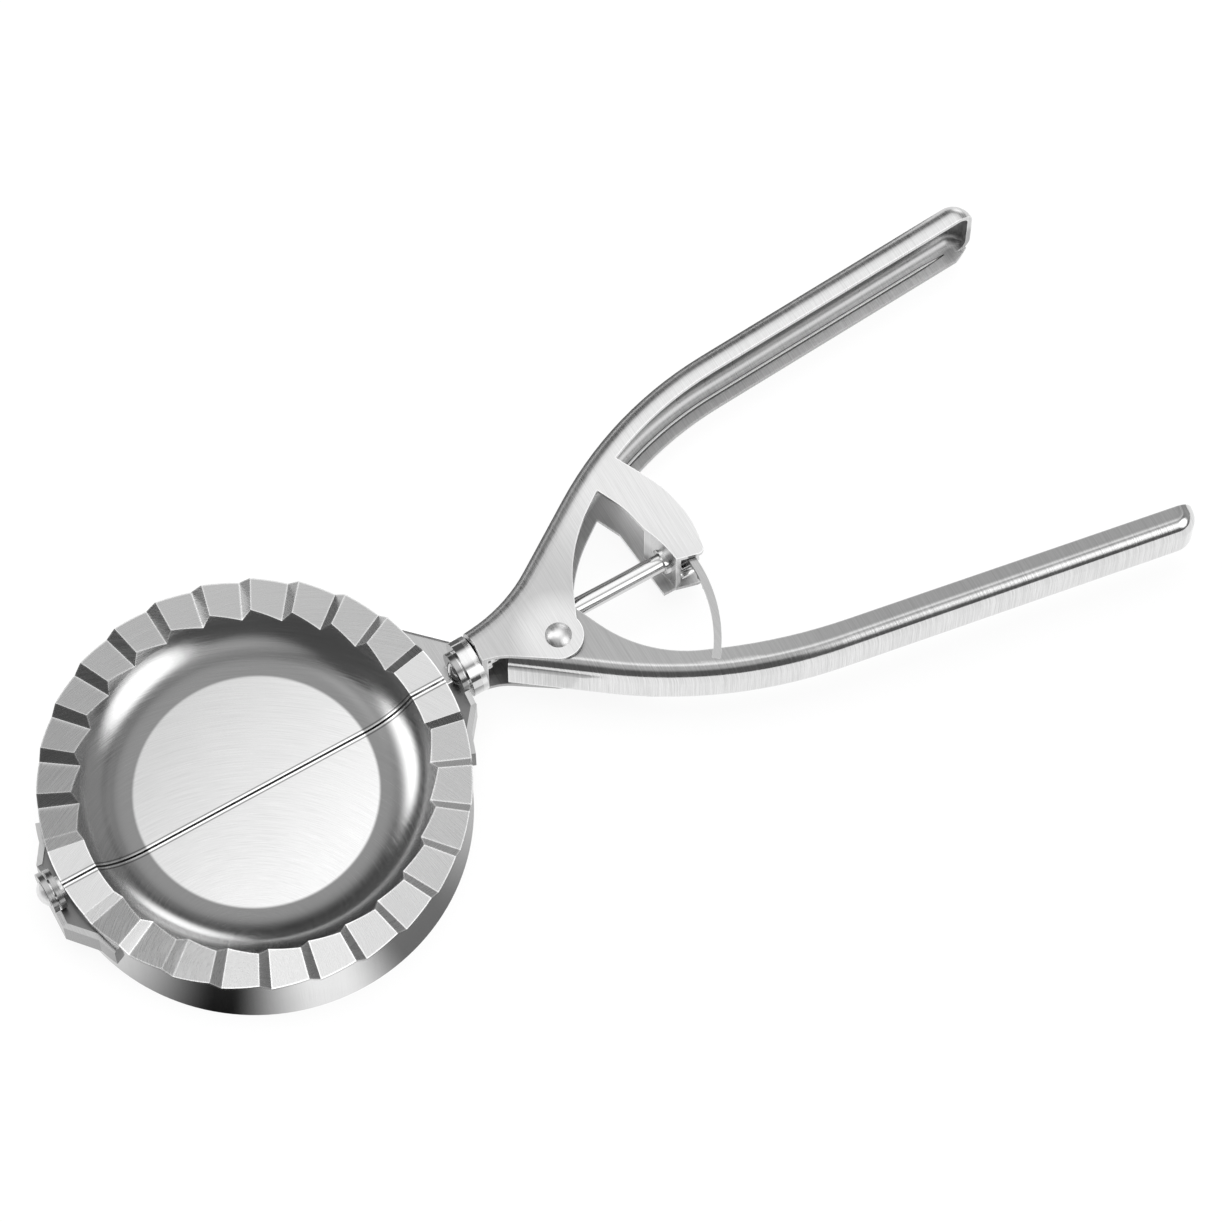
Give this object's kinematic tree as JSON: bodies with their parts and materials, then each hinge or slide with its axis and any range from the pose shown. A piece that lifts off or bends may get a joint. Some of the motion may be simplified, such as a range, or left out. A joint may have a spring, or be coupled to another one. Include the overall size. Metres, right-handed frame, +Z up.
{
  "type": "dumpling maker",
  "caption": "Plier-handled steel dumpling maker: squeezing the handles drives a rack and pinion that folds one half of a pleated round mould onto the other.",
  "frame": {"origin": "centre of the mould's lower edge, on the plane that it stands on", "axes": "+X along the hinge line from the mould to the handles, +Y towards the fixed half, +Z up"},
  "size_m": [0.2493, 0.0963, 0.0277],
  "materials": {
    "mould_steel": "fine brushed",
    "handle_steel": "brushed across",
    "polished_steel": "polished",
    "spring_steel": "drawn wire"
  },
  "bodies": {
    "frame": {"fixed_handle": "handle_steel", "neck_collar": "polished_steel", "fixed_mould_plate": "mould_steel", "fixed_mould_skirt": "mould_steel", "fixed_front_ear": "handle_steel", "fixed_rear_ear": "handle_steel", "pivot_rivet": "polished_steel", "pivot_sleeve": "polished_steel", "return_spring": "spring_steel", "shaft_end_bush": "polished_steel", "front_hinge_rivet": "polished_steel", "front_hinge_washer": "polished_steel"},
    "lever": {"moving_handle": "handle_steel", "arc_rack": "polished_steel"},
    "folder": {"moving_mould_plate": "mould_steel", "moving_mould_skirt": "mould_steel", "moving_front_ear": "handle_steel", "moving_rear_ear": "handle_steel", "drive_shaft": "polished_steel", "rear_hinge_washer": "polished_steel", "pinion_gear": "polished_steel", "pinion_pin": "polished_steel"}
  },
  "joints": [
    {"name": "squeeze", "type": "hinge", "parent": "frame", "child": "lever", "pos_m": [0.0687, -0.0064, 0.018], "axis": [0, 0, 1], "range_deg": [0, 25.71], "stiffness_Nm_per_rad": 0.5, "springref_deg": -28.65, "deforming": ["return_spring"]},
    {"name": "fold", "type": "hinge", "parent": "frame", "child": "folder", "pos_m": [0, 0, 0.018], "axis": [-1, 0, 0], "range_deg": [0, 180]}
  ],
  "couplings": [
    {"joint": "fold", "follows": "squeeze", "ratio": 7}
  ]
}
